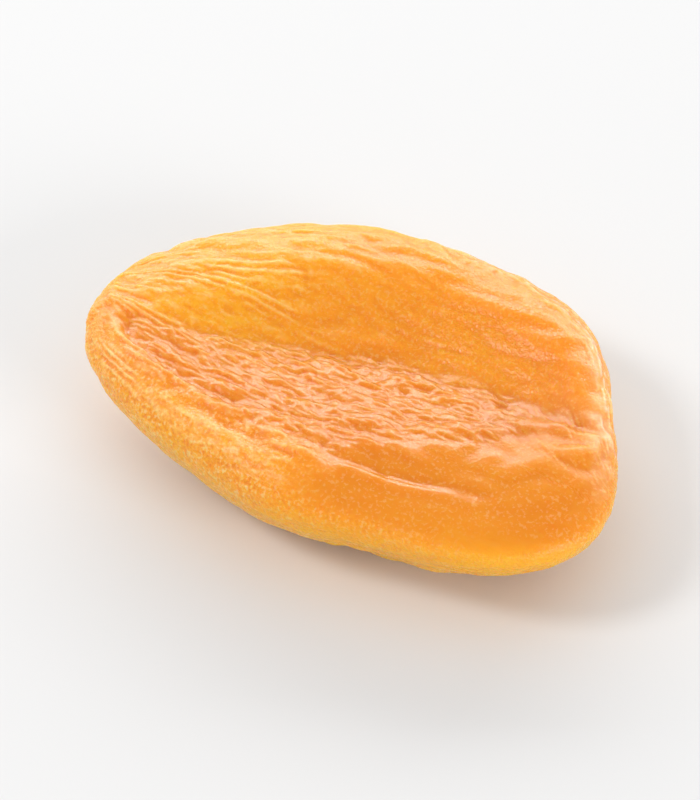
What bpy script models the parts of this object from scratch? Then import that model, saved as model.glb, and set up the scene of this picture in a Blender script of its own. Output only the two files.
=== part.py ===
"""Dried apricot: one whole pitted fruit, dried flat and dished, lying on the convex side of its skin.

Metres, +Z up. X runs along the fruit, from its narrow tip at -X to its broad end at +X, and -Y is
the thick front edge. The origin is the middle of its box in plan, on the surface that it lies on.
"""

import bmesh
import bpy
import numpy as np
from mathutils import Vector, noise

MM = 0.001

# Driving dimensions, in millimetres
HALF_LENGTH = 25.0            # from the middle to the narrow tip or to the broad end
HALF_WIDTH = 17.56            # from the middle to the front or to the back edge
EDGE_MIDDLE = 7.2             # height of the middle of the rolled edge over the surface below
EDGE_HALF = 4.5               # half the thickness of the rolled edge where it is plump
EDGE_FULLNESS = 6.0           # 2 is a round edge, more is a flat top with a tighter roll
DISH_FLOOR = 7.7              # height of the lowest line of the dish, the valley
DISH_MIDDLE = -1.0            # where the valley is lowest, along the fruit
FRONT_SLOPE = 0.20            # rise of the dish from its valley towards the front edge, per millimetre
BACK_RISE = 3.3               # rise of the dish from its valley to the back edge
BACK_RUN = 10.5               # distance over which the dish rises to the back
END_RISE = 2.0                # rise of the valley towards each end of the fruit
END_RUN = 18.0                # distance over which the valley rises to an end
END_CURVE = 2.2               # power of that rise: 2 is a parabola
VALLEY_Y = 4.9                # the valley runs behind the middle of the fruit
VALLEY_BEND = 8.0             # and bends forward by this much to the narrow tip
VALLEY_BEND_BROAD = 1.2       # and by this much to the broad end
VALLEY_RUN = 20.0             # distance over which the valley bends, to either end
VALLEY_CURVE = 1.3            # power of its bend to the narrow tip
CREASE_DEPTH = 0.35           # depth of the crease along the valley
CREASE_WIDTH = 1.5            # and its half width
LIP_ROUNDING = 0.9            # how softly the dish goes over into the edge
SHOULDER = 1.9                # how far the broad front shoulder lies below the rest of the edge
SHOULDER_BEARING = 318        # degrees from the broad end, anticlockwise in plan
SHOULDER_SPREAD = 42          # degrees to each side
BELLY = 3.2                   # how far the underside swells below its edge

# Changes of the rolled edge near a bearing: millimetres, bearing and spread in degrees
EDGE_THINNER = ((1.5, 180, 28), (0.7, 80, 60), (0.3, 0, 30), (0.4, 315, 40))
EDGE_HIGHER = ((0.5, 180, 40), (0.3, 20, 50))

# The outline is an ellipse times 1 + the sum of these waves: (cosine, sine) of 1 to 5 times round
OUTLINE_WAVES = ((-0.078, 0.082), (0.0, -0.041), (-0.017, -0.043), (0.006, -0.024), (-0.011, -0.027))

GRID = 84                     # squares along each side of the cube that the skin starts from
KEPT = 0.128                  # share of the triangles that is kept, most of them along the folds

# Height of the wrinkles of the upper side, in millimetres, and what some parts add to it
WRINKLE_HEIGHT = 0.08
MORE_ON_FLOOR = 0.13
MORE_AT_ENDS = 0.12
MORE_AT_BACK_EDGE = 0.09
LESS_ON_SHOULDER = 0.6        # the share that the plump shoulder takes away

# Kinds of wrinkles: spacing in millimetres, how many times longer than wide, and a place in the noise
LONG_WRINKLES = (2.3, 3.6, 3.1)
SHORT_WRINKLES = (1.6, 2.4, 11.7)
NET_WRINKLES = (3.2, 1.7, 23.5)

# Wrinkles follow flow lines from end to end, turned a little from the length
FLOW_TURN = 6.0               # degrees
GIRTH_RADIUS = 13.7           # millimetres round the girth for each radian
BEND_SCALE = 0.45             # how coarse the bends of the wrinkles are, against their spacing
BEND_REACH = 0.55             # how far they bend, in spacings
BEND_SEED = 3                 # which of many like patterns of bends, the same each time

# Single folds of the upper side: height (a groove is negative), half width, points in plan
FOLDS = (
    (0.36, 0.65, ((-25.0, -2.5), (-22.5, -6.2), (-17.2, -8.4), (-11.5, -10.0), (-6.0, -9.3), (-1.0, -8.7))),
    (-0.44, 0.55, ((-23.2, -3.9), (-21.2, -6.0), (-18.0, -7.5), (-14.6, -8.4), (-11.0, -8.9), (-7.0, -8.4))),
    (0.24, 0.55, ((-23.2, -2.6), (-20.4, -5.4), (-16.2, -6.7), (-12.5, -7.6), (-7.5, -7.2))),
    (-0.24, 0.60, ((-9.8, -12.0), (-7.0, -12.2), (-4.2, -12.3), (-0.5, -12.6))),
    (0.22, 0.65, ((-5.0, -10.6), (-2.4, -11.2), (0.0, -11.8), (2.5, -12.2))),
    (-0.36, 0.55, ((-3.5, -9.2), (1.5, -10.2), (5.0, -9.8), (8.2, -9.0), (11.0, -8.0), (14.5, -7.6))),
    (0.22, 0.60, ((2.0, -11.2), (5.0, -10.7), (8.5, -9.9), (12.0, -8.7))),
    (0.18, 0.55, ((2.0, -8.4), (3.6, -7.3), (5.4, -6.7), (7.5, -6.9))),
    (0.24, 0.80, ((3.0, -5.2), (5.0, -3.9), (7.5, -2.4), (10.0, -1.4), (12.0, 0.8), (15.2, 2.5), (16.2, 4.8))),
    (0.26, 0.70, ((15.5, -1.7), (18.2, -0.2), (19.6, 2.2), (19.6, 4.6))),
    (0.24, 0.70, ((10.8, 14.3), (13.4, 12.3), (15.8, 10.0), (17.6, 7.9), (19.2, 5.5))),
    (0.20, 0.65, ((13.2, 7.5), (14.8, 6.6), (16.0, 5.4))),
    (0.18, 0.80, ((-20.2, -1.1), (-16.6, 1.9), (-13.5, 4.2), (-9.5, 5.4))),
    (0.18, 0.70, ((-20.2, -3.1), (-16.2, 0.3), (-13.0, 1.9), (-10.0, 3.2))),
    (0.16, 0.80, ((-10.5, 3.0), (-6.4, 5.0), (-4.4, 5.7), (-1.0, 6.4))),
    (0.16, 0.80, ((-17.6, 2.6), (-15.6, 4.4), (-13.6, 6.0))),
    (0.16, 0.90, ((-0.2, 11.1), (2.9, 12.4), (7.6, 10.8), (11.6, 9.4))),
)


def smooth(start, end, value):
    """Rise smoothly from 0 at start to 1 at end."""
    t = np.clip((value - start) / (end - start), 0.0, 1.0)
    return t * t * (3.0 - 2.0 * t)


def near_angle(theta, centre, spread):
    """1 at the angle centre, in degrees, fading to nothing over the spread on both sides."""
    away = (np.degrees(theta) - centre + 180.0) % 360.0 - 180.0
    return np.exp(-(away / spread) ** 2)


def softly_lower(a, b, blend):
    """The lower of two heights, with the corner between them rounded over the blend."""
    return 0.5 * (a + b - np.sqrt((a - b) ** 2 + blend ** 2))


def outline(theta):
    """Distance from the middle of the fruit to its edge, in plan."""
    radius = HALF_LENGTH * HALF_WIDTH / np.hypot(HALF_WIDTH * np.cos(theta), HALF_LENGTH * np.sin(theta))
    factor = np.ones_like(theta)
    for turns, (cosine, sine) in enumerate(OUTLINE_WAVES, start=1):
        factor = factor + cosine * np.cos(turns * theta) + sine * np.sin(turns * theta)
    return radius * factor


def edge_profile(steps=4000):
    """Reach and height round a slice of the edge, with the share of skin above each point."""
    turn = 0.5 * np.pi * np.linspace(0.0, 1.0, steps) ** (0.5 * EDGE_FULLNESS)
    turn = np.concatenate((turn, np.pi - turn[-2::-1]))
    reach = np.sin(turn) ** (2.0 / EDGE_FULLNESS)
    height = np.cos(turn)
    mean_radius = 0.5 * (HALF_LENGTH + HALF_WIDTH)
    step = np.hypot(np.diff(reach) * mean_radius, np.diff(height) * EDGE_HALF)
    skin = np.concatenate(([0.0], np.cumsum(step * 0.5 * (reach[1:] + reach[:-1]))))
    return reach, height, skin / skin[-1]


def changed(theta, changes):
    """The sum of the changes of the edge, each of which acts near its own bearing."""
    return sum(amount * near_angle(theta, bearing, spread) for amount, bearing, spread in changes)


def behind_valley(x, y):
    """Distance behind the lowest line of the dish, which curves forward towards the narrow tip."""
    to_tip = VALLEY_BEND * (np.clip(-x, 0.0, None) / VALLEY_RUN) ** VALLEY_CURVE
    to_broad_end = VALLEY_BEND_BROAD * (np.clip(x, 0.0, None) / VALLEY_RUN) ** 2
    return y - VALLEY_Y + to_tip + to_broad_end


def dish(x, y):
    """Height of the hollow in the upper side, a valley between a gentle front and a steeper back."""
    across = behind_valley(x, y)
    ahead = np.sqrt(np.clip(-across, 0.0, None) ** 2 + 1.0) - 1.0
    behind = BACK_RISE * smooth(0.0, 1.0, np.clip(across, 0.0, None) / BACK_RUN)
    ends = END_RISE * (np.abs(x - DISH_MIDDLE) / END_RUN) ** END_CURVE
    crease = CREASE_DEPTH * np.exp(-np.abs(across) / CREASE_WIDTH)
    return DISH_FLOOR + FRONT_SLOPE * ahead + behind + ends - crease


def skin_points(directions):
    """The plain form without folds: for each direction from the middle, a point of the skin.

    w is 0 over the middle of the fruit and 1 at its outline. side is 1 on top of the edge, 0 at its
    rim and -1 below it.
    """
    reach, height, skin = edge_profile()
    theta = np.arctan2(directions[:, 1], directions[:, 0])
    share = 0.5 * (1.0 - directions[:, 2])
    w = np.interp(share, skin, reach)
    side = np.interp(share, skin, height)
    radius = w * outline(theta)
    x = radius * np.cos(theta)
    y = radius * np.sin(theta)
    shoulder = near_angle(theta, SHOULDER_BEARING, SHOULDER_SPREAD)
    thinner = changed(theta, EDGE_THINNER) + np.where(side > 0.0, SHOULDER * shoulder, 0.0)
    outwards = smooth(0.0, 0.7, w)
    half = EDGE_HALF - outwards * thinner
    middle = EDGE_MIDDLE + outwards * changed(theta, EDGE_HIGHER)
    pillow = middle + half * side
    top = softly_lower(pillow, dish(x, y), LIP_ROUNDING)
    bottom = pillow - BELLY * (1.0 - w ** 2)
    upper = smooth(-0.1, 0.3, side)
    lower = smooth(0.3, -0.7, side)
    z = upper * top + (1.0 - upper) * (pillow + lower * (bottom - pillow))
    return np.column_stack((x, y, z)), theta, w, side


def flow_position(directions):
    """Where each direction lies on the fruit's flow lines, which run from the tip to the broad end
    as meridians run from pole to pole: millimetres along, and a place round the girth."""
    turn = np.radians(FLOW_TURN)
    along = directions[:, 0] * np.cos(turn) + directions[:, 1] * np.sin(turn)
    aside = directions[:, 1] * np.cos(turn) - directions[:, 0] * np.sin(turn)
    latitude = np.arcsin(np.clip(along, -1.0, 1.0))
    girth = np.maximum(np.hypot(aside, directions[:, 2]), 1e-6)
    around = GIRTH_RADIUS * np.cos(latitude) ** 0.6
    across = around * aside / girth
    upwards = around * directions[:, 2] / girth
    return np.column_stack((HALF_LENGTH * latitude, across, upwards))


def wrinkles(position, spacing, stretch, seed):
    """Rounded ridges with sharper creases between them, about 0 to 1: long along the fruit."""
    place = position / spacing
    place[:, 0] /= stretch
    offset = Vector((seed, 0.37 * seed, 0.71 * seed))
    height = np.empty(len(place))
    for i, values in enumerate(place):
        point = Vector(values) + offset
        bend = noise.noise_vector(point * BEND_SCALE) * BEND_REACH
        height[i] = abs(noise.noise(point + bend))
    return np.minimum(2.0 * height, 1.0)


def curve_through(points, steps=12):
    """A smooth curve through the points of a fold, as many short straight steps."""
    p = np.array(points, dtype=float)
    p = np.vstack((2 * p[0] - p[1], p, 2 * p[-1] - p[-2]))
    t = np.linspace(0.0, 1.0, steps, endpoint=False)[:, None]
    pieces = []
    for a, b, c, d in zip(p, p[1:], p[2:], p[3:]):
        pieces.append(0.5 * (2 * b + (c - a) * t + (2 * a - 5 * b + 4 * c - d) * t ** 2
                             + (3 * b - a - 3 * c + d) * t ** 3))
    return np.vstack(pieces + [p[-2:-1]])


def folds(x, y):
    """Height that the single folds add to the upper side, in plan."""
    total = np.zeros_like(x)
    for height, half_width, points in FOLDS:
        line = curve_through(points)
        nearest = np.full(x.shape, np.inf)
        place = np.zeros_like(x)
        for i, (start, end) in enumerate(zip(line, line[1:])):
            run = end - start
            t = ((x - start[0]) * run[0] + (y - start[1]) * run[1]) / (run @ run)
            t = np.clip(t, 0.0, 1.0)
            distance = np.hypot(x - start[0] - t * run[0], y - start[1] - t * run[1])
            closer = distance < nearest
            nearest = np.where(closer, distance, nearest)
            place = np.where(closer, (i + t) / (len(line) - 1), place)
        fade = smooth(-0.1, 0.25, place) * smooth(1.1, 0.75, place)
        total += height * fade * np.exp(-(nearest / half_width) ** 2)
    return total


def relief(points, directions, theta, w, side):
    """How far the folds and wrinkles stand out of the plain form, in millimetres."""
    x, y = points[:, 0], points[:, 1]
    across = behind_valley(x, y)
    upper = smooth(0.0, 0.5, side)
    lower = smooth(-0.5, -0.95, side)
    inside = 1.0 - smooth(0.72, 0.88, w)
    shoulder = near_angle(theta, SHOULDER_BEARING, SHOULDER_SPREAD) * smooth(0.42, 0.62, w)
    floor = smooth(1.5, -1.5, across) * inside
    ends = (near_angle(theta, 8, 24) + near_angle(theta, 182, 22)) * smooth(0.70, 0.92, w)
    back_edge = near_angle(theta, 85, 70) * smooth(0.70, 0.90, w)
    strength = WRINKLE_HEIGHT + MORE_ON_FLOOR * floor + MORE_AT_ENDS * ends
    strength = (strength + MORE_AT_BACK_EDGE * back_edge) * (1.0 - LESS_ON_SHOULDER * shoulder)
    position = flow_position(directions)
    long_ones = wrinkles(position, *LONG_WRINKLES)
    short_ones = wrinkles(position, *SHORT_WRINKLES)
    net = wrinkles(position, *NET_WRINKLES)
    top = strength * (1.6 * long_ones + 0.8 * short_ones - 1.0) + folds(x, y)
    under = smooth(0.32, 0.60, w) * (0.60 * net + 0.2 * short_ones - 0.32)
    edge = (1.0 - upper) * (1.0 - lower) * (0.06 + MORE_AT_ENDS * ends) * (1.5 * long_ones - 0.6)
    return upper * top + lower * under + edge


def dried_skin():
    """The skin as a fine closed mesh: a cube's grid blown up to the form, then folded."""
    skin = bmesh.new()
    bmesh.ops.create_cube(skin, size=2.0)
    bmesh.ops.subdivide_edges(skin, edges=skin.edges[:], cuts=GRID - 1, use_grid_fill=True)
    cube = np.array([vertex.co for vertex in skin.verts])
    ball = np.tan(cube * np.pi / 4.0)
    directions = ball / np.linalg.norm(ball, axis=1)[:, None]
    points, theta, w, side = skin_points(directions)
    for vertex, point in zip(skin.verts, points):
        vertex.co = point * MM
    skin.normal_update()
    normals = np.array([vertex.normal for vertex in skin.verts])
    folded = points + normals * relief(points, directions, theta, w, side)[:, None]
    folded[:, 2] = np.maximum(folded[:, 2], 0.0)
    for vertex, point in zip(skin.verts, folded):
        vertex.co = point * MM
    bmesh.ops.triangulate(skin, faces=skin.faces[:])
    mesh = bpy.data.meshes.new("apricot")
    skin.to_mesh(mesh)
    skin.free()
    return mesh


def thinned(fruit):
    """Keep the share of the triangles that the folds need, and centre the box over the origin."""
    fewer = fruit.modifiers.new("fewer", "DECIMATE")
    fewer.ratio = KEPT
    depsgraph = bpy.context.evaluated_depsgraph_get()
    mesh = bpy.data.meshes.new_from_object(fruit.evaluated_get(depsgraph))
    fruit.modifiers.clear()
    points = np.array([vertex.co for vertex in mesh.vertices])
    points[:, :2] -= 0.5 * (points[:, :2].min(axis=0) + points[:, :2].max(axis=0))
    points[points[:, 2] < 0.02 * MM, 2] = 0.0
    for vertex, point in zip(mesh.vertices, points):
        vertex.co = point
    mesh.name = "apricot"
    fruit.data = mesh


def flesh():
    """Sweet translucent flesh, orange and softly glossy."""
    material = bpy.data.materials.new("dried_apricot_flesh")
    material.use_nodes = True
    shader = material.node_tree.nodes["Principled BSDF"]
    shader.inputs["Base Color"].default_value = (0.87, 0.33, 0.03, 1.0)
    shader.inputs["Roughness"].default_value = 0.4
    shader.inputs["Metallic"].default_value = 0.0
    return material


def build():
    for old in list(bpy.data.objects):
        bpy.data.objects.remove(old)
    noise.seed_set(BEND_SEED)
    collection = bpy.data.collections.new("dried_apricot")
    bpy.context.scene.collection.children.link(collection)
    fruit = bpy.data.objects.new("apricot", dried_skin())
    collection.objects.link(fruit)
    thinned(fruit)
    fruit.data.materials.append(flesh())
    fruit.data.shade_smooth()
    box = [round(side, 4) for side in fruit.dimensions]
    print("apricot:", len(fruit.data.polygons), "triangles, box", box)


build()
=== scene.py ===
# %% [markdown]
# # A dried apricot
#
# One pitted fruit, dried whole: a soft oval, sunken on its upper side, with a thick rolled edge and
# a skin that has gathered into fine wrinkles. The solid below it is already a real fruit at its
# real size, so this lesson makes what is too fine for a solid: the wrinkles that drying leaves, the
# flesh that lets light in, and the dull shine of its sugar. The folds could be painted into a bump
# map, but wrinkles that stand up are seen on the edge of the fruit too, so they are made as mesh.

# %% Load the solid and note its size
import math

import bpy
import numpy as np
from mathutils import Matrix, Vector, noise


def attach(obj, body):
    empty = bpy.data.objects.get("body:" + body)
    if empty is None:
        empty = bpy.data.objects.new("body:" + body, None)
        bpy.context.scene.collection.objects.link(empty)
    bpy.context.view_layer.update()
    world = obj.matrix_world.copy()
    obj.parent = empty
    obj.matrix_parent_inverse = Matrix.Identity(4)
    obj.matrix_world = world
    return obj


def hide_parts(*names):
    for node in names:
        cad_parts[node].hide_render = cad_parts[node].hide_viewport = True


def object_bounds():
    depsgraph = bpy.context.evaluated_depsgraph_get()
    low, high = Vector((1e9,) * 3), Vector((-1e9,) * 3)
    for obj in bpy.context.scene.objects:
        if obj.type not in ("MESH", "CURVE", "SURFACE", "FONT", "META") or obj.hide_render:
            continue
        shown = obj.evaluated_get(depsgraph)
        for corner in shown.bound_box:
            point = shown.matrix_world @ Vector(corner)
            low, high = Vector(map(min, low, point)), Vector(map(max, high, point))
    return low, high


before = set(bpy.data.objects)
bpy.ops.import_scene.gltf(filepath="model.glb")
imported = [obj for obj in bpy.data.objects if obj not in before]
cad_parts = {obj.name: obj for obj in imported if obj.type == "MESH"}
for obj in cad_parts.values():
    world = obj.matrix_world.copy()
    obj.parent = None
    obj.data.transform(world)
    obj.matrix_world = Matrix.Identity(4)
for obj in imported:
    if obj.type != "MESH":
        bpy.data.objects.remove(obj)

MM = 0.001
BEND_SEED = 3             # which of many like patterns the noise makes, the same each time
noise.seed_set(BEND_SEED)
solid_box = [list(corner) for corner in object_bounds()]
lowest, highest = (np.array(corner) / MM for corner in solid_box)
print("solid, mm:", np.round(highest - lowest, 1))


# %% [markdown]
# ## The camera
#
# It stands in front and to the right of the fruit and looks down into its hollow. A long lens from
# well back keeps the near edge from looking larger than the far one. It comes first, so that every
# later step can be looked at from here.

# %% Place the camera
FRUIT_MIDDLE = Vector((2.2, -1.7, 7.2)) * MM    # the middle of the hollow
VIEW_MIDDLE = Vector((-0.1, -3.1, 7.4)) * MM    # the middle of what the camera sees of the fruit
BEARING = 30                                    # degrees to the right of straight in front
HEIGHT = 42                                     # degrees above the surface
DISTANCE = 366.8 * MM
LENS = 195.0                                    # millimetres
SENSOR = 36.0                                   # millimetres, its long side


def direction(bearing, height):
    """The direction from the fruit to something at this bearing and height, in degrees."""
    bearing = math.radians(bearing)
    height = math.radians(height)
    flat = math.cos(height)
    return Vector((math.sin(bearing) * flat, -math.cos(bearing) * flat, math.sin(height)))


def aim(thing, target):
    """Turn a camera or a light, both of which look along their own -Z, to the target."""
    thing.rotation_euler = (target - thing.location).to_track_quat("-Z", "Y").to_euler()


bpy.ops.object.select_all(action="DESELECT")
bpy.ops.object.camera_add(location=FRUIT_MIDDLE + direction(BEARING, HEIGHT) * DISTANCE)
camera = bpy.context.object
camera.name = "camera"
aim(camera, VIEW_MIDDLE)
camera.data.lens = LENS
camera.data.sensor_width = SENSOR
camera.data.clip_start = 10 * MM
bpy.context.scene.camera = camera
print("camera at, mm:", [round(value / MM) for value in camera.location])


# %% [markdown]
# ## A skin to work on
#
# The solid is made of long triangles, which would crease badly. A voxel remesh wraps it in small
# even squares, as fine as cloth threads, that can wrinkle in any direction. Its triangles are loose,
# so their corners are merged first, and a light smoothing takes out their flat facets.

# %% Tools for working on a mesh


def work_on(thing):
    """Select one object alone and make it the active one."""
    bpy.ops.object.select_all(action="DESELECT")
    thing.select_set(True)
    bpy.context.view_layer.objects.active = thing


def finish_with(thing, kind, **settings):
    """Add a modifier with these settings and apply it at once."""
    modifier = thing.modifiers.new(kind.lower(), kind)
    for name, value in settings.items():
        setattr(modifier, name, value)
    work_on(thing)
    bpy.ops.object.modifier_apply(modifier=modifier.name)


def points_of(mesh):
    """The corners of a mesh as rows of x, y and z, in millimetres."""
    points = np.empty(len(mesh.vertices) * 3)
    mesh.vertices.foreach_get("co", points)
    return points.reshape(-1, 3) / MM


def move_points(mesh, points):
    """Put the corners of a mesh at these places, in millimetres."""
    mesh.vertices.foreach_set("co", (points * MM).ravel())
    mesh.update()


def facing(mesh):
    """The way the skin faces at each corner."""
    normals = np.empty(len(mesh.vertices) * 3)
    mesh.vertex_normals.foreach_get("vector", normals)
    return normals.reshape(-1, 3)


# %% Wrap the fruit in small squares
SQUARE = 0.436 * MM       # side of one square of the skin
FACET_SMOOTHING = 4       # rounds of smoothing, each halfway to the neighbours
SAME_CORNER = 0.001 * MM  # corners closer than this are one

fruit = bpy.data.objects.new("apricot_flesh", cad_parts["apricot"].data.copy())
bpy.context.scene.collection.objects.link(fruit)
work_on(fruit)
bpy.ops.object.mode_set(mode="EDIT")
bpy.ops.mesh.select_all(action="SELECT")
bpy.ops.mesh.remove_doubles(threshold=SAME_CORNER)
bpy.ops.object.mode_set(mode="OBJECT")
finish_with(fruit, "REMESH", mode="VOXEL", voxel_size=SQUARE)
finish_with(fruit, "SMOOTH", factor=0.5, iterations=FACET_SMOOTHING)
form = points_of(fruit.data)
print("squares:", len(fruit.data.polygons))


# %% [markdown]
# ## Along the fruit
#
# The wrinkles of a dried fruit run from its stalk end to its other end and draw together at both,
# like the lines of longitude on a globe. The width of the fruit, measured in slices along its
# length, tells how far they have drawn together. A pattern that is made in these stretched places
# follows the outline by itself, which a pattern in plain x, y and z would not.

# %% Measure the outline and follow its flow


def smooth(start, end, value):
    """Rise smoothly from 0 at start to 1 at end."""
    t = np.clip((value - start) / (end - start), 0.0, 1.0)
    return t * t * (3.0 - 2.0 * t)


def measure_outline(points, slices=60):
    """The middle and the half width of the fruit in slices along its length."""
    along = np.linspace(points[:, 0].min(), points[:, 0].max(), slices + 1)
    which = np.clip(np.digitize(points[:, 0], along) - 1, 0, slices - 1)
    front = np.array([points[which == i, 1].min() for i in range(slices)])
    back = np.array([points[which == i, 1].max() for i in range(slices)])
    centres = 0.5 * (along[1:] + along[:-1])
    return centres, 0.5 * (front + back), 0.5 * (back - front)


outline = measure_outline(form)
NARROWEST = 0.35          # where the lines stop drawing together, as a share of the widest place
FLOW_WIDTH = 0.85         # how wide the pattern is all along, as a share of the widest place


def flow(points):
    """Places along the flow of the wrinkles, which draw together at the ends as the outline does."""
    centres, middle, half = outline
    half_here = np.maximum(np.interp(points[:, 0], centres, half), NARROWEST * half.max())
    share = (points[:, 1] - np.interp(points[:, 0], centres, middle)) / half_here
    return np.column_stack((points[:, 0], share * FLOW_WIDTH * half.max(), points[:, 2]))


print("widest, mm:", round(2 * outline[2].max(), 1))


# %% [markdown]
# ## Where is what
#
# Wrinkles are not alike all over: they are crowded on the floor of the hollow, faint on its back
# wall and on the plump front shoulder, and a loose net below. Painting weights by hand would do.
# Here the parts of the skin are told apart by where they lie and which way they face, once the
# facing is averaged over a few millimetres so that single wrinkles don't count. Each part is kept
# with the mesh as a number from 0 to 1 at every corner, and these numbers survive each later step.

# %% Average over neighbours


def spread(mesh, values, rounds):
    """Average a value at each corner with its neighbours' values, again and again."""
    ends = np.empty(len(mesh.edges) * 2, int)
    mesh.edges.foreach_get("vertices", ends)
    ends = ends.reshape(-1, 2)
    values = np.array(values, float)
    flat = values.reshape(len(values), -1)
    count = np.bincount(ends.ravel(), minlength=len(flat))[:, None] + 1.0
    for _ in range(rounds):
        total = flat.copy()
        for column in range(flat.shape[1]):
            total[:, column] += np.bincount(ends[:, 0], flat[ends[:, 1], column], len(flat))
            total[:, column] += np.bincount(ends[:, 1], flat[ends[:, 0], column], len(flat))
        flat = total / count
    return flat.reshape(values.shape)


def store(mesh, name, values):
    """Keep a number or a place for each corner of the mesh."""
    several = values.ndim == 2
    layer = mesh.attributes.new(name, "FLOAT_VECTOR" if several else "FLOAT", "POINT")
    layer.data.foreach_set("vector" if several else "value", values.ravel())


def stored(mesh, name):
    """The numbers kept under this name, one for each corner of the mesh."""
    values = np.empty(len(mesh.vertices))
    mesh.attributes[name].data.foreach_get("value", values)
    return values


# %% Tell the parts of the skin apart
# Two lines along the hollow, as x and y in millimetres: its valley, and the front of its shine
VALLEY = ((-22.0, -6.0), (-18.0, -5.0), (-7.7, -0.5), (-0.1, 3.0), (9.1, 3.7), (16.0, 3.2), (20.0, 4.2))
SHINE_EDGE = ((-22.7, -5.0), (-14.9, -10.6), (-5.7, -12.2), (3.4, -11.5),
              (5.9, -7.7), (12.3, -4.3), (17.7, 0.2), (20.0, 3.0))
FACING_ROUNDS = 40        # rounds of averaging before the skin's facing is read


def behind(points, line):
    """How far each point lies behind a line along the fruit, in millimetres."""
    x, y = np.array(line).T
    return points[:, 1] - np.interp(points[:, 0], x, y)


def parts_of_skin(mesh, points):
    """How far each corner belongs to each part of the skin, from 0 to 1.

    Each pair of numbers says where a part begins and where it is full: millimetres for places, a
    share of the half width for the rim, and from -1, down, to 1, up, for the way the skin faces.
    """
    x, y, _ = points.T
    broad = spread(mesh, facing(mesh), FACING_ROUNDS)
    height = broad[:, 2] / np.linalg.norm(broad, axis=1)
    centres, middle, half = outline
    share = (y - np.interp(x, centres, middle)) / np.interp(x, centres, half)
    up = smooth(0.35, 0.80, height)
    rim = smooth(0.70, 0.95, np.abs(share))
    slope = np.interp(x, centres, np.gradient(half, centres))
    inwards = (1.0 - np.abs(share)) * np.interp(x, centres, half) / np.hypot(1.0, slope)
    shine = smooth(-2.2, 1.2, behind(points, SHINE_EDGE))
    past_valley = smooth(-0.8, 0.8, behind(points, VALLEY))
    floor = up * shine * (1.0 - past_valley)
    back_wall = up * shine * past_valley * (1.0 - rim)
    band = up * smooth(8.0, 13.0, x) * smooth(-5.5, -2.0, y) * smooth(5.0, 1.0, y) * (1.0 - 0.7 * rim)
    shoulder = smooth(-0.7, 0.1, height) * (1.0 - shine) * smooth(0.0, 6.0, x) * (1.0 - band)
    return {
        "side": 1.0 - up,
        "down": smooth(-0.45, -0.90, height),
        "under": smooth(0.5, -0.3, height),
        "floor": floor,
        "crinkled": floor * smooth(18.5, 12.0, x),
        "band": band,
        "back_wall": back_wall,
        "left_wall": back_wall * smooth(-2.0, -12.0, x),
        "right_wall": back_wall * smooth(-2.0, 8.0, x),
        "pale_wall": smooth(-3.0, -14.0, x) * smooth(-6.5, -2.0, y),
        "shoulder": shoulder,
        "top_shoulder": shoulder * up,
        "top_rim": rim * up,
        "left_rim": rim * smooth(2.0, -8.0, x) * smooth(-2.0, 4.0, y),
        "back_rim": rim * up * smooth(-6.0, 4.0, x) * smooth(-2.0, 5.0, y),
        "outer_rim": up * smooth(3.0, 0.8, inwards) * smooth(-8.0, 2.0, x) * smooth(-2.0, 5.0, y),
        "right_rim": up * smooth(4.5, 1.0, inwards) * smooth(10.0, 17.0, x) * smooth(-8.0, 0.0, y),
        "front_edge": up * (1.0 - floor) * smooth(6.0, -6.0, x) * smooth(-1.0, -4.0, behind(points, VALLEY)),
        "front_flank": (1.0 - up) * smooth(-0.4, 0.1, height) * smooth(8.0, -4.0, x) * smooth(-4.0, -8.0, y),
        "low_end": rim * smooth(12.0, 22.0, x) * smooth(2.0, -6.0, y),
        "tip": smooth(-18.5, -22.5, x),
        "end": smooth(17.0, 22.0, x) * smooth(-6.0, -1.0, y),
        "dish_end": up * smooth(12.5, 16.5, x) * smooth(-7.0, -4.0, y) * smooth(6.5, 4.5, y),
    }


place = parts_of_skin(fruit.data, form)
for name, share in place.items():
    store(fruit.data, name, share)


def by_place(base, **added):
    """A number for each corner: the same base everywhere, and what each part of the skin adds."""
    return base + sum(amount * place[name] for name, amount in added.items())


print("shares of the skin:", {name: round(float(share.mean()), 2) for name, share in place.items()})


# %% [markdown]
# ## Drying
#
# A fresh fruit's skin is stretched over a larger fruit. As the flesh shrinks, the skin keeps its
# size, and it has to buckle. The same is done here: the skin is a cloth that starts out too wide,
# and a shape key draws it in to the fruit's true form while weak springs tie it down. It is too wide
# mostly across, so its wrinkles run lengthwise. The solver is made for things the size of a flag, so
# the fruit is enlarged for it. A slight unevenness tells the first wrinkles where to start.

# %% Make the skin uneven and too wide
TOO_WIDE = (1.01, 1.07, 1.05)        # how much larger the skin starts, along x, y and z
SEED_HEIGHT = 0.06                   # millimetres of unevenness
SEED_SPACING = (3.2, 1.1, 1.1)       # and its spacing along x, y and z
SEED_PLACE = 7.3                     # and its place in the noise


def uneven(points, spacing, seed):
    """Soft noise from -1 to 1 with bumps about this far apart, in millimetres along x, y and z."""
    places = points / np.array(spacing) + seed
    return np.array([noise.noise(Vector(spot)) for spot in places])


seeds = uneven(flow(form), SEED_SPACING, SEED_PLACE)
drawn_in = form + facing(fruit.data) * (SEED_HEIGHT * seeds)[:, None]
centre = form.mean(axis=0)
too_wide = centre + (drawn_in - centre) * np.array(TOO_WIDE)
print("unevenness, mm:", round(float(np.abs(SEED_HEIGHT * seeds).max()), 3))

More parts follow.
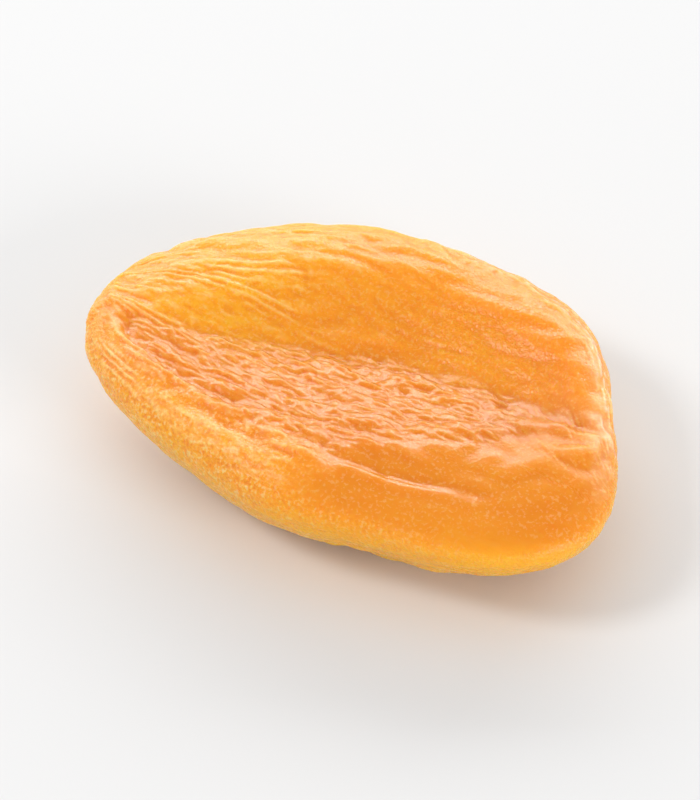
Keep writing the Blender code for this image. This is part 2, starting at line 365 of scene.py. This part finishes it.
# %% Let the skin buckle
ENLARGED = 20.0           # the fruit is about a metre long in the simulation
DRYING_FRAMES = 14
SETTLING_FRAMES = 4
TIED = 0.5                # how firmly the springs hold each corner, from 0 to 1
SKIN = {"tension_stiffness": 40.0, "compression_stiffness": 40.0, "shear_stiffness": 12.0,
        "bending_stiffness": 5.0, "tension_damping": 5.0, "compression_damping": 5.0,
        "shear_damping": 5.0, "bending_damping": 0.5, "air_damping": 1.0,
        "pin_stiffness": 0.2, "mass": 0.3, "quality": 5}


def dry(thing, wide, target):
    """Return the places of the skin's corners, in millimetres, after it is drawn in and buckles."""
    move_points(thing.data, wide * ENLARGED)
    thing.shape_key_add(name="Basis")
    dried = thing.shape_key_add(name="dried")
    dried.data.foreach_set("co", (target * ENLARGED * MM).ravel())
    for frame_number, value in ((1, 0.0), (DRYING_FRAMES, 1.0)):
        dried.value = value
        dried.keyframe_insert("value", frame=frame_number)
    tied = thing.vertex_groups.new(name="tied")
    tied.add(list(range(len(target))), TIED, "REPLACE")
    cloth = thing.modifiers.new("cloth", "CLOTH")
    cloth.settings.effector_weights.gravity = 0.0
    cloth.settings.vertex_group_mass = "tied"
    for name, value in SKIN.items():
        setattr(cloth.settings, name, value)
    cloth.collision_settings.use_collision = False
    for frame_number in range(1, DRYING_FRAMES + SETTLING_FRAMES + 1):
        bpy.context.scene.frame_set(frame_number)
    shown = thing.evaluated_get(bpy.context.evaluated_depsgraph_get())
    places = points_of(shown.to_mesh()) / ENLARGED
    shown.to_mesh_clear()
    thing.modifiers.remove(cloth)
    thing.shape_key_clear()
    thing.vertex_groups.clear()
    thing.animation_data_clear()
    bpy.context.scene.frame_set(1)
    return places


buckled = dry(fruit, too_wide, drawn_in)
offset = buckled - form
print("buckling, mm:", round(float(np.linalg.norm(offset, axis=1).mean()), 3))

# %% [markdown]
# ## Folds and buckles together
#
# The remesh has rounded the solid's folds a little, and they are drawn sharper again: each corner
# goes on in the direction in which it already stands out from its neighbours. A sculptor would use
# a crease brush. Then a share of the buckling is added: a small one on the plump shoulder and at the
# end of the hollow, where a fruit stays smooth, and a large one below and at both ends, where there
# is little flesh.

# %% Draw the folds sharper and add the buckling
SHARPER = 0.60            # how much further out the folds stand
SHARPER_ROUNDS = 6        # what counts as a fold: anything narrower than these rounds of averaging

sharper = SHARPER * by_place(1.0, floor=-0.8, front_edge=1.0, dish_end=1.0, right_rim=0.8)
sharper *= by_place(1.0, shoulder=-0.6)
drawn = form + sharper[:, None] * (form - spread(fruit.data, form, SHARPER_ROUNDS))
buckling = by_place(0.26, floor=-0.13, tip=0.2, end=0.3, down=0.4) * by_place(1.0, shoulder=-0.7)
buckling *= by_place(1.0, dish_end=-0.6)
move_points(fruit.data, drawn + offset * buckling[:, None])
print("share of the buckling kept:", round(float(buckling.min()), 2), "to", round(float(buckling.max()), 2))


# %% [markdown]
# ## Fine wrinkles
#
# Between the folds, the skin is crinkled like damp leather: flakes under a millimetre wide and twice
# as long, with narrower ones on them, and long folds that run side by side along the hollow.
# They catch the light one by one, and this is what makes the floor of the hollow glitter. Cloth as
# fine as this would take hours to simulate, so they come from noise. The flakes are soft noise,
# drawn out along the flow and bent out of line. The long folds are a sine across the flow whose
# phase wanders, since noise alone closes into cells, and real folds never close.

# %% Divide the skin into finer squares
FINER = 2                 # how many times each square is divided in four

finish_with(fruit, "SUBSURF", levels=FINER, render_levels=FINER)
points = points_of(fruit.data)
place = {name: stored(fruit.data, name) for name in place}
print("squares:", len(fruit.data.polygons))

# %% Shape the wrinkles
WIDE_FLAKES = (0.74, 2.0, 0.9, 2.3)       # spacing in millimetres, how many times longer than wide,
NARROW_FLAKES = (0.42, 2.0, 0.7, 5.1)     # how far they bend, in spacings, and a place in the noise
BENDS = 0.6                               # how many bends a flake has for each spacing
PATCHES = (5.0, 3.0, 3.0)                 # flakes come in higher and lower patches, this far apart
PATCH_PLACE = 3.1                         # and a place in the noise for these
PATCH_HEIGHT = 0.85                       # how high the flakes are on average, against their full height
PATCH_CHANGE = 0.5                        # and how much more or less in a patch
FOLD_SPACING = 1.5                        # millimetres
FOLD_PLACE = 9.4                          # a place in the noise
FOLD_LEAN = 0.4                           # how far the folds shift across as the skin rises
WANDER_SPACING = (9.0, 3.5, 3.5)          # from one wandering of a fold to the next
WANDER_REACH = 2.0                        # and how far it wanders, in spacings
FADE_SPACING = (5.0, 1.8, 1.8)            # from one gap in a fold to the next
FADE = (-0.25, 0.35)                      # the noise at which a fold is gone and at which it is whole
FADE_PLACE = 5.0                          # how far on in the noise the gaps are read
FOLD_MIDDLE = 0.2                         # the height of a fold that leaves the skin where it was
FOLD_END = (24.0, 17.0)                   # x in millimetres where the folds are gone and where whole


def flakes(points, spacing, stretch, bend, seed):
    """Soft noise from -1 to 1, drawn out along the flow of the wrinkles and bent out of line."""
    where = flow(points) / spacing
    where[:, 0] /= stretch
    where += seed
    height = np.empty(len(where))
    for i, spot in enumerate(where):
        spot = Vector(spot)
        height[i] = noise.noise(spot + noise.noise_vector(spot * BENDS) * bend)
    return height


def long_folds(points, spacing, seed):
    """Long folds side by side with sharp crests, 0 to 1, which wander and fade but never close."""
    where = flow(points)
    wander = uneven(where, WANDER_SPACING, seed)
    present = smooth(*FADE, uneven(where, FADE_SPACING, seed + FADE_PLACE))
    phase = (where[:, 1] + FOLD_LEAN * where[:, 2]) / spacing + WANDER_REACH * wander
    return present * (1.0 - np.abs(np.sin(np.pi * phase)))


patches = PATCH_HEIGHT + PATCH_CHANGE * uneven(points, PATCHES, PATCH_PLACE)
wide = flakes(points, *WIDE_FLAKES) * patches
narrow = flakes(points, *NARROW_FLAKES)
folds = long_folds(points, FOLD_SPACING, FOLD_PLACE) - FOLD_MIDDLE
folds *= smooth(*FOLD_END, points[:, 0])
print("flakes:", np.round([wide.min(), wide.max()], 2), "folds:", np.round([folds.min(), folds.max()], 2))

# %% Raise the wrinkles
# Each number is the height in millimetres that a part of the skin adds, and in the last line the
# share of its height that a smooth part loses
height = by_place(0.03, crinkled=0.15, band=0.04, left_wall=0.04, top_rim=0.06, back_rim=0.09,
                  right_rim=0.04, front_edge=-0.02) * wide
height += by_place(0.02, crinkled=0.08, band=0.02, front_edge=-0.01, top_rim=0.02, back_rim=0.03) * narrow
height += by_place(0.04, crinkled=0.11, band=0.06, left_wall=0.09, front_edge=0.12) * folds
height *= by_place(1.0, shoulder=-0.75) * by_place(1.0, right_wall=-0.7) * by_place(1.0, dish_end=-0.4)
points += facing(fruit.data) * height[:, None]
points[:, 2] = np.maximum(points[:, 2], 0.0)      # nothing sinks into the surface below
move_points(fruit.data, points)
print("highest and lowest, mm:", round(float(height.max()), 2), round(float(height.min()), 2))

# %% [markdown]
# ## Crests and creases
#
# The creases are given painted shade and the crests a pale painted highlight, so the flesh has to
# know which is which. Light alone shows some of it, but flesh lets light through and softens it. How
# far a corner stands out from the average of its surroundings tells them apart. Then the skin is
# thinned to what the wrinkles need, as a scan of a real fruit would be.

# %% Mark the crests and thin the skin
CREST_ROUNDS = 12         # rounds of averaging that the surroundings reach
FULL_CREST = 0.03         # millimetres above or below its surroundings for a full crest or crease
TRIANGLES = 197000

raised = ((points - spread(fruit.data, points, CREST_ROUNDS)) * facing(fruit.data)).sum(axis=1)
store(fruit.data, "crest", np.clip(0.5 + 0.5 * raised / FULL_CREST, 0.0, 1.0))
finish_with(fruit, "TRIANGULATE")
finish_with(fruit, "DECIMATE", ratio=TRIANGLES / len(fruit.data.polygons))
work_on(fruit)
bpy.ops.object.shade_smooth()
points = points_of(fruit.data)
place = {name: stored(fruit.data, name) for name in place}
print("triangles:", len(fruit.data.polygons))


# %% [markdown]
# ## What the flesh is like in each place
#
# The flesh is orange where it is thick, in patches of a slightly different tone. A yellow glow of
# light shining through is painted in where it is thin: the rims, the far wall at the tip, the belly
# and the lower end. Painted shade darkens the floor of the hollow and the top of the shoulder. Sugar
# has dried to a fine grain on the side, with painted glints, and a pale highlight is painted on the
# crests of the rims. These are kept with the mesh, like the parts of the skin, and need no picture.
# The parts themselves are no longer needed after this.

# %% Keep what the flesh needs
RIPE_PATCHES = (8.0, 6.0, 6.0)       # millimetres from one riper patch to the next
RIPE_PLACE = 4.7                     # and a place in the noise for them
RIPE_UNEVENNESS = 0.30
RIDGE = (0.5, 1.0)                   # where a ridge begins and is full, from crease 0 to crest 1
TONE_AND_GLOW_ROUNDS = 60                     # rounds of averaging that blur the orange tone into the painted yellow glow
PAINTED_SHADE_ROUNDS = 20
RIM_HIGHLIGHT = 0.22                    # painted highlight between the crests of the broad end's rim

# Orange where the flesh is thick, and a painted yellow glow of light where it is thin or lit from below: the
# rims, the far wall at the tip, the belly and the lower end; the noise adds patches of another tone
tone_and_painted_glow = by_place(0.50, back_wall=0.12, top_shoulder=0.30, floor=0.30, top_rim=-0.28,
                    pale_wall=-0.55, under=-0.55, low_end=-0.60)
tone_and_painted_glow += RIPE_UNEVENNESS * uneven(points, RIPE_PATCHES, RIPE_PLACE)
ridge = smooth(*RIDGE, stored(fruit.data, "crest"))
looks = {
    "tone_and_painted_glow": spread(fruit.data, np.clip(tone_and_painted_glow, 0.0, 1.0), TONE_AND_GLOW_ROUNDS),
    # painted shade: a darker orange over the floor of the hollow, the band and the top of the shoulder
    "painted_shade": spread(fruit.data, by_place(0.0, floor=0.6, band=0.4, top_shoulder=0.45), PAINTED_SHADE_ROUNDS),
    # painted highlight: paler crests where the rims, the walls and the front edge catch the light
    "painted_highlight": ridge * by_place(0.06, back_rim=0.15, outer_rim=0.45, right_rim=0.30, left_wall=0.18,
                              front_edge=0.30)
             + RIM_HIGHLIGHT * place["right_rim"],
    # sugar grains with painted glints on them, and pores between them
    "grain_and_glints": np.clip(by_place(0.20, side=0.15, front_flank=0.35, front_edge=0.30, top_shoulder=-0.01,
                                low_end=-0.3, under=-0.2), 0.0, 1.0),
    "grainy": by_place(0.60, floor=-0.30, dish_end=-0.20, side=0.6, front_flank=0.4, front_edge=0.4,
                       top_shoulder=-0.27),
    "streaked": np.clip(by_place(0.0, crinkled=1.0, top_rim=0.3, end=-0.7), 0.0, 1.0),
    "matte": by_place(0.25, floor=-0.05, dish_end=0.12, top_shoulder=-0.05, left_rim=0.20),
    "flow": flow(points),
}
for name in place:
    fruit.data.attributes.remove(fruit.data.attributes[name])
for name, values in looks.items():
    store(fruit.data, name, values)
print("kept:", [layer.name for layer in fruit.data.attributes if layer.name in looks])


# %% [markdown]
# ## Flesh
#
# Dried apricot is jelly-like: light goes in, turns orange within a millimetre or two, and comes out
# again, which makes thin places glow and blurs small shadows. Plain orange paint would look like
# plastic. Red goes furthest in flesh and blue hardly enters, so each colour has its own reach. The
# colours are given as a paint shop would, and one function turns them into the linear ones that
# light adds up in.

# %% Start the flesh and the one function that adds its nodes
flesh = bpy.data.materials.new("dried_apricot_flesh")
flesh.use_nodes = True
tree = flesh.node_tree
shader = tree.nodes["Principled BSDF"]


def colour(code):
    """A #rrggbb colour as a linear one."""
    values = [int(code[i:i + 2], 16) / 255.0 for i in (1, 3, 5)]
    return [v / 12.92 if v <= 0.04045 else ((v + 0.055) / 1.055) ** 2.4 for v in values] + [1.0]


def node(kind, sockets=(), **settings):
    """Add a node with these properties, and give each socket a number, a colour or an output."""
    made = tree.nodes.new(kind)
    for name, value in settings.items():
        setattr(made, name, value)
    for socket, source in sockets:
        if isinstance(source, bpy.types.NodeSocket):
            tree.links.new(source, made.inputs[socket])
        else:
            made.inputs[socket].default_value = source
    return made


kept = {name: node("ShaderNodeAttribute", attribute_name=name).outputs["Fac"]
        for name in ("crest", *looks) if name != "flow"}
print("the flesh reads:", sorted(kept))

# %% Find the grains and their painted glints, the pores between them, and the creases
GRAIN_SIZE = 0.30 * MM    # from one grain of sugar to the next
TOPS = (0.54, 0.66)       # of the noise from 0 to 1: where a painted glint on a grain begins and where it is full
GAPS = (0.48, 0.36)       # and where a pore begins and is full
CREASE = (0.55, 0.15)     # where the painted shade of a crease begins and is full, from crest 1 to crease 0
CREASE_SHADE = 0.25       # how far the painted shade darkens it

here = node("ShaderNodeTexCoord").outputs["Object"]
grain = node("ShaderNodeTexNoise", [("Vector", here), ("Scale", 1 / GRAIN_SIZE), ("Detail", 2.0)])
glint_speck = node("ShaderNodeMapRange", [("Value", grain.outputs["Fac"]), ("From Min", TOPS[0]),
                                    ("From Max", TOPS[1])])
glint_specks = node("ShaderNodeMath", [(0, glint_speck.outputs["Result"]), (1, kept["grain_and_glints"])], operation="MULTIPLY")
pore = node("ShaderNodeMapRange", [("Value", grain.outputs["Fac"]), ("From Min", GAPS[0]),
                                   ("From Max", GAPS[1])])
pores = node("ShaderNodeMath", [(0, pore.outputs["Result"]), (1, kept["grain_and_glints"])], operation="MULTIPLY")
creases = node("ShaderNodeMapRange", [("Value", kept["crest"]), ("From Min", CREASE[0]),
                                      ("From Max", CREASE[1]), ("To Max", CREASE_SHADE)])
print("grains of sugar, mm apart:", GRAIN_SIZE / MM)

# %% Lay the colours of the flesh over each other
AMOUNT, BELOW, ABOVE, MIXED = 0, 6, 7, 2      # the colour sockets of a mix node
LIT_THROUGH_FLESH = "#fbb40e"                        # yellow, a painted glow of light shining through thin flesh
LAYERS = (
    (kept["tone_and_painted_glow"], "#ec8808"),            # thicker, orange flesh, over the painted glow
    (kept["painted_shade"], "#d9820a"),               # painted shade over the floor of the hollow and on the shoulder
    (creases.outputs["Result"], "#dc7206"),   # painted shade in the creases
    (kept["painted_highlight"], "#ffe0b8"),               # pale painted highlight on the crests
    (pores.outputs[0], "#e6850c"),            # pores between the grains
    (glint_specks.outputs[0], "#ffdd98"),           # grains of sugar, with painted glints
)
tint = colour(LIT_THROUGH_FLESH)
for amount, above in LAYERS:
    sockets = [(AMOUNT, amount), (BELOW, tint), (ABOVE, colour(above))]
    tint = node("ShaderNodeMix", sockets, data_type="RGBA").outputs[MIXED]
tree.links.new(tint, shader.inputs["Base Color"])
print("layers of colour:", len(LAYERS))

# %% Let light in
REACH = 3.0 * MM                              # how far red light goes in flesh
REACH_OF_COLOURS = (1.0, 0.42, 0.10)          # red, green and blue, against red

shader.inputs["Subsurface Weight"].default_value = 1.0
shader.inputs["Subsurface Scale"].default_value = REACH
shader.inputs["Subsurface Radius"].default_value = REACH_OF_COLOURS
print("reach of red, green and blue, mm:", [round(REACH / MM * share, 2) for share in REACH_OF_COLOURS])

# %% [markdown]
# ## Shine
#
# The skin is sticky and gives a soft, broken shine. Two things are too fine for the mesh: drawn-out
# streaks a third of a millimetre wide on the crinkled floor, which follow the flow, and the grain of
# the sugar, strongest on the side. Both are bumps, and the streaks also make the shine a little
# duller and clearer by turns. Scratching them into a texture by hand would take a day.

# %% Raise the streaks and the grain
STREAK_WIDTH = 0.32       # millimetres, as the flow is
STREAK_STRETCH = (0.5, 1.0, 1.0)     # twice as long as wide
STREAK_DEPTH = 0.03 * MM
GRAIN_DEPTH = 0.13 * MM

flow_place = node("ShaderNodeAttribute", attribute_name="flow").outputs["Vector"]
along = node("ShaderNodeMapping", [("Vector", flow_place), ("Scale", STREAK_STRETCH)]).outputs["Vector"]
streaks = node("ShaderNodeTexNoise", [("Vector", along), ("Scale", 1 / STREAK_WIDTH), ("Detail", 2.0)])
streak = node("ShaderNodeMath", [(0, streaks.outputs["Fac"]), (1, kept["streaked"])], operation="MULTIPLY")
streak_bump = node("ShaderNodeBump", [("Height", streak.outputs[0]), ("Distance", STREAK_DEPTH)])
grains = node("ShaderNodeMath", [(0, grain.outputs["Fac"]), (1, kept["grainy"])], operation="MULTIPLY")
grain_bump = node("ShaderNodeBump", [("Height", grains.outputs[0]), ("Distance", GRAIN_DEPTH),
                                     ("Normal", streak_bump.outputs["Normal"])])
tree.links.new(grain_bump.outputs["Normal"], shader.inputs["Normal"])
print("streaks and grain, mm deep:", STREAK_DEPTH / MM, GRAIN_DEPTH / MM)

# %% Give the flesh its soft shine
STICKY_IOR = 1.45          # sugar syrup
STREAK_NOISE = (0.3, 0.7)  # most of the streaks' noise lies between these
DULLER = 0.04              # how far the roughness goes up and down with the streaks

duller = node("ShaderNodeMapRange", [("Value", streaks.outputs["Fac"]), ("From Min", STREAK_NOISE[0]),
                                     ("From Max", STREAK_NOISE[1]), ("To Min", -DULLER), ("To Max", DULLER)])
roughness = node("ShaderNodeMath", [(0, kept["matte"]), (1, duller.outputs["Result"])], operation="ADD")
tree.links.new(roughness.outputs[0], shader.inputs["Roughness"])
shader.inputs["IOR"].default_value = STICKY_IOR
fruit.data.materials.clear()
fruit.data.materials.append(flesh)
print("nodes of the flesh:", len(tree.nodes))


# %% [markdown]
# ## Floor and light
#
# Food is photographed on white card under large soft lights, so that its shadows are faint and its
# colour is clear. A strip behind the fruit and low down is what the wrinkles mirror to the camera:
# moving it up would light the shoulder instead of the floor of the hollow. A smaller light from the
# left makes the flank glow, and another from the right fills the dark side. The room itself is a
# pale grey.

# %% Lay the card and set the room
CARD_SIZE = 4.0           # metres
CARD_COLOUR = "#e2e2e2"
CARD_ROUGHNESS = 0.7      # matt paper
ROOM_LIGHT = 0.62

bpy.ops.mesh.primitive_plane_add(size=CARD_SIZE)
floor = bpy.context.object
floor.name = "floor"
card = bpy.data.materials.new("white_card")
card.use_nodes = True
card_shader = card.node_tree.nodes["Principled BSDF"]
card_shader.inputs["Base Color"].default_value = colour(CARD_COLOUR)
card_shader.inputs["Roughness"].default_value = CARD_ROUGHNESS
floor.data.materials.append(card)

room = bpy.data.worlds.new("white_room")
room.use_nodes = True
room.node_tree.nodes["Background"].inputs["Color"].default_value = (1.0, 1.0, 1.0, 1.0)
room.node_tree.nodes["Background"].inputs["Strength"].default_value = ROOM_LIGHT
bpy.context.scene.world = room
bpy.context.scene.view_settings.view_transform = "Standard"
print("card and room are set")

# %% Hang the lights
LIGHT_DISTANCE = 1.2      # metres


def softbox(name, bearing, height, width, tall, watts):
    """Hang a soft light of this size, in metres, that faces the fruit."""
    spot = FRUIT_MIDDLE + direction(bearing, height) * LIGHT_DISTANCE
    bpy.ops.object.light_add(type="AREA", location=spot)
    lamp = bpy.context.object
    lamp.name = name
    lamp.data.shape = "RECTANGLE"
    lamp.data.size = width
    lamp.data.size_y = tall
    lamp.data.energy = watts
    aim(lamp, FRUIT_MIDDLE)


softbox("strip behind", 210, 24, 1.8, 0.44, 11.0)
softbox("light from the left", -55, 45, 0.34, 0.34, 4.6)
softbox("fill from the right", 75, 20, 0.5, 0.3, 5.4)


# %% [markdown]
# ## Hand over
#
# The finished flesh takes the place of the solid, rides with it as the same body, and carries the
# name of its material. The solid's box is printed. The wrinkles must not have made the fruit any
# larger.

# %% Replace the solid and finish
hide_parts("apricot")
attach(fruit, "root")
print("solid box:", np.round(solid_box, 5).tolist())
